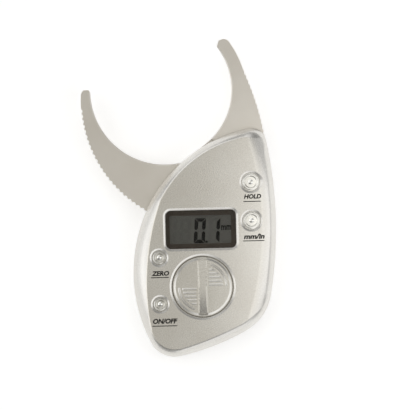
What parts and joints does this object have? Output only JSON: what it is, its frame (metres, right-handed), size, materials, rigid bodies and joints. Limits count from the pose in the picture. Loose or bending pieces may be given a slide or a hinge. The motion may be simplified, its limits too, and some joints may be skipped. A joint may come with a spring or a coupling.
{
  "type": "skinfold caliper",
  "caption": "Hand-held digital skinfold caliper: drop-shaped housing with a display, push buttons and a turning battery cap, one fixed jaw and one sprung pivoting jaw.",
  "frame": {"origin": "on the jaws' pivot axis, in the plane of the flat back that the caliper rests on", "axes": "+Z out of the display face, +Y towards the jaws' tips, +X towards the fixed jaw's side"},
  "size_m": [0.0878, 0.1445, 0.02],
  "materials": {
    "silver_shell": "satin silver paint on moulded plastic",
    "silver_jaw": "satin silver paint on moulded plastic",
    "silver_cap": "satin silver paint on moulded plastic",
    "plated_key": "bright metal plating on plastic",
    "clear_window": "clear, polished",
    "display_glass": "grey-green display glass, opaque",
    "black_plastic": "matte black",
    "elastomer": "striped elastomer",
    "board_laminate": "green board laminate",
    "rotor_laminate": "green laminate with a copper pattern",
    "chip_resin": "black resin drop",
    "steel": "zinc-plated",
    "spring_steel": "bright drawn wire",
    "brass": "turned",
    "bronze": "sintered bronze",
    "white_plastic": "natural white, smooth",
    "cell_steel": "nickel-plated can",
    "nickel_strip": "nickel-plated strip"
  },
  "bodies": {
    "housing": {"front_cover": "silver_shell", "back_cover": "silver_shell", "fixed_jaw": "silver_jaw", "pivot_screw": "steel", "pivot_insert": "brass", "thrust_washer": "white_plastic", "jaw_spring": "spring_steel", "circuit_board": "board_laminate", "driver_chip": "chip_resin", "key_switches": "black_plastic", "lcd_panel": "display_glass", "lcd_frame": "black_plastic", "contact_strips": "elastomer", "window_lens": "clear_window", "coin_cell": "cell_steel", "cell_spring_contact": "nickel_strip", "cell_side_contact": "nickel_strip", "case_screws": "steel", "board_screws": "steel", "jaw_screws": "steel"},
    "jaw": {"moving_jaw": "silver_jaw", "pivot_bush": "bronze", "sensor_rotor": "rotor_laminate"},
    "hold_key": {"hold_button": "plated_key"},
    "unit_key": {"unit_button": "plated_key"},
    "zero_key": {"zero_button": "plated_key"},
    "power_key": {"power_button": "plated_key"},
    "cap": {"battery_cap": "silver_cap"}
  },
  "joints": [
    {"name": "jaw_pivot", "type": "hinge", "parent": "housing", "child": "jaw", "pos_m": [0, 0, 0.0082], "axis": [0, 0, 1], "range_deg": [-49.3, 0], "stiffness_Nm_per_rad": 0.02, "springref_deg": 34.38, "deforming": ["jaw_spring"]},
    {"name": "hold_press", "type": "slide", "parent": "housing", "child": "hold_key", "axis": [0, 0, -1], "range_m": [0, 0.0005], "stiffness_N_per_m": 600, "springref_m": -0.001},
    {"name": "unit_press", "type": "slide", "parent": "housing", "child": "unit_key", "axis": [0, 0, -1], "range_m": [0, 0.0005], "stiffness_N_per_m": 600, "springref_m": -0.001},
    {"name": "zero_press", "type": "slide", "parent": "housing", "child": "zero_key", "axis": [0, 0, -1], "range_m": [0, 0.0005], "stiffness_N_per_m": 600, "springref_m": -0.001},
    {"name": "power_press", "type": "slide", "parent": "housing", "child": "power_key", "axis": [0, 0, -1], "range_m": [0, 0.0005], "stiffness_N_per_m": 600, "springref_m": -0.001},
    {"name": "cap_turn", "type": "hinge", "parent": "housing", "child": "cap", "pos_m": [-0.0003, -0.0359, 0.0159], "axis": [0, 0, 1], "range_deg": [0, 60]}
  ]
}
